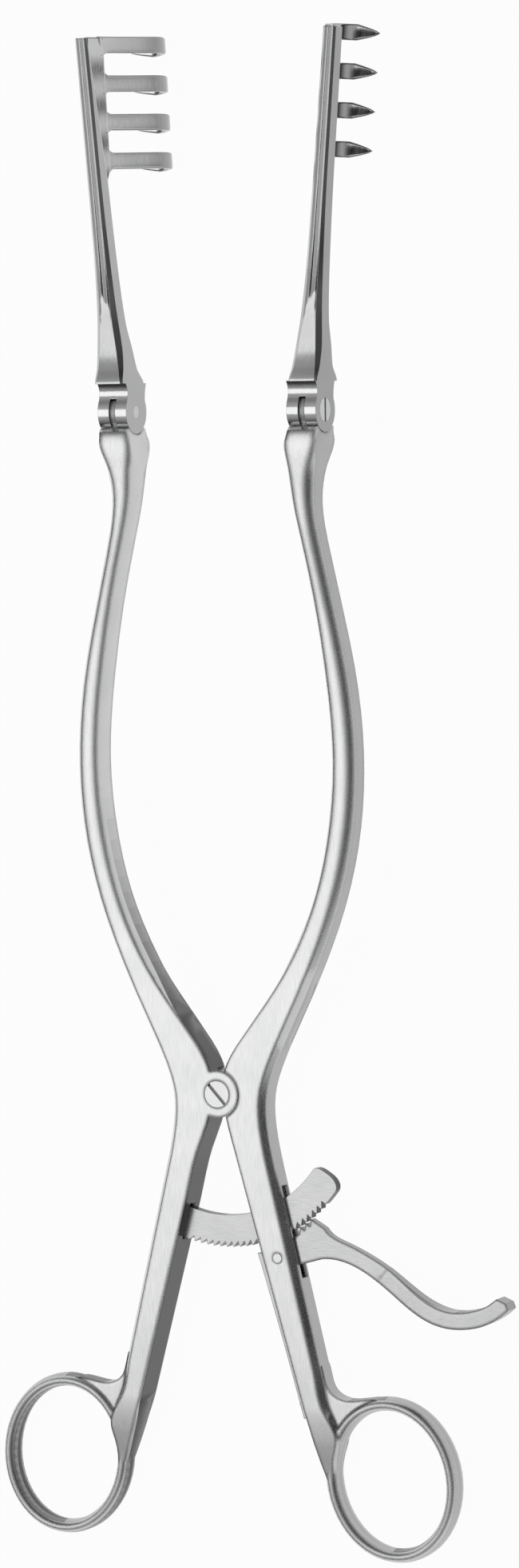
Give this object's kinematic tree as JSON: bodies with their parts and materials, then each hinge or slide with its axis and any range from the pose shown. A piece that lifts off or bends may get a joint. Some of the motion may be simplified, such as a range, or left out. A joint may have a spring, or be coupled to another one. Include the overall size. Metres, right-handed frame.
{
  "type": "self retaining retractor",
  "caption": "Self-retaining retractor with ring handles, lap pivot, ratchet with sprung release lever, and hinged blade arms with hooked blunt-pointed prongs.",
  "frame": {"origin": "on the pivot axis, in the plane of the handle arms' back faces", "axes": "+Y along the instrument from the pivot to the blades, +Z out of the side with the screw slots, +X towards the release lever"},
  "size_m": [0.1177, 0.3118, 0.0264],
  "materials": {
    "arm_steel": "satin",
    "blade_steel": "polished",
    "ratchet_steel": "satin",
    "lever_steel": "satin",
    "spring_steel": "satin",
    "screw_steel": "polished"
  },
  "bodies": {
    "left_handle": {"left_handle_arm": "arm_steel", "ratchet_bar": "ratchet_steel", "ratchet_pins": "screw_steel"},
    "right_handle": {"right_handle_arm": "arm_steel", "pivot_screw": "screw_steel", "lever_pin": "screw_steel", "leaf_spring": "spring_steel", "leaf_spring_screw": "screw_steel"},
    "left_blade": {"left_blade_arm": "blade_steel", "left_hinge_screw": "screw_steel"},
    "right_blade": {"right_blade_arm": "blade_steel", "right_hinge_screw": "screw_steel"},
    "lever": {"release_lever": "lever_steel"}
  },
  "joints": [
    {"name": "lap_pivot", "type": "hinge", "parent": "left_handle", "child": "right_handle", "pos_m": [0, 0, 0.0037], "axis": [0, 0, -1], "range_deg": [-9.5, 27]},
    {"name": "left_blade_hinge", "type": "hinge", "parent": "left_handle", "child": "left_blade", "pos_m": [-0.0216, 0.14, 0.0037], "axis": [1, 0, 0], "range_deg": [-75, 75]},
    {"name": "right_blade_hinge", "type": "hinge", "parent": "right_handle", "child": "right_blade", "pos_m": [0.0216, 0.14, 0.0037], "axis": [1, 0, 0], "range_deg": [-75, 75]},
    {"name": "lever_pivot", "type": "hinge", "parent": "right_handle", "child": "lever", "pos_m": [0.0134, -0.03315, 0.0037], "axis": [0, 0, -1], "range_deg": [0, 9], "stiffness_Nm_per_rad": 0.2, "springref_deg": -4.58, "deforming": ["leaf_spring"]}
  ]
}
